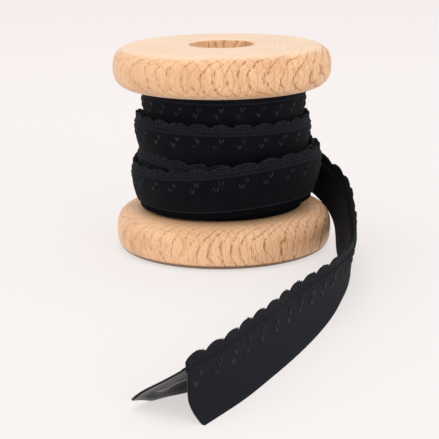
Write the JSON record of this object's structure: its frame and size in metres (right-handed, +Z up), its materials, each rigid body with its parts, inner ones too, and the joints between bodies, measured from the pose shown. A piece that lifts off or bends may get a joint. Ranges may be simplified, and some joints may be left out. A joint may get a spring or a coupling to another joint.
{
  "type": "elastic bias binding wound on a wooden spool",
  "caption": "Wooden spool wound with folded elastic binding with a scalloped edge; a loose end curls out in front.",
  "frame": {"origin": "middle of the whole part's box on the ground; the spool's axis stands at x -0.0028 m, y 0.0480 m", "axes": "+Z up along the spool's axis; the loose end runs from the spool towards -Y, so +Y is the longest way"},
  "size_m": [0.0616, 0.152, 0.0526],
  "materials": {
    "wood": "smooth bare pale beech with a fine grain",
    "binding": "matte black elastic knit with a scalloped edge and small raised leaf pairs"
  },
  "bodies": {
    "root": {"spool_top_disc": "wood", "spool_barrel": "wood", "spool_bottom_disc": "wood", "wound_binding": "binding", "loose_end": "binding"}
  },
  "joints": []
}
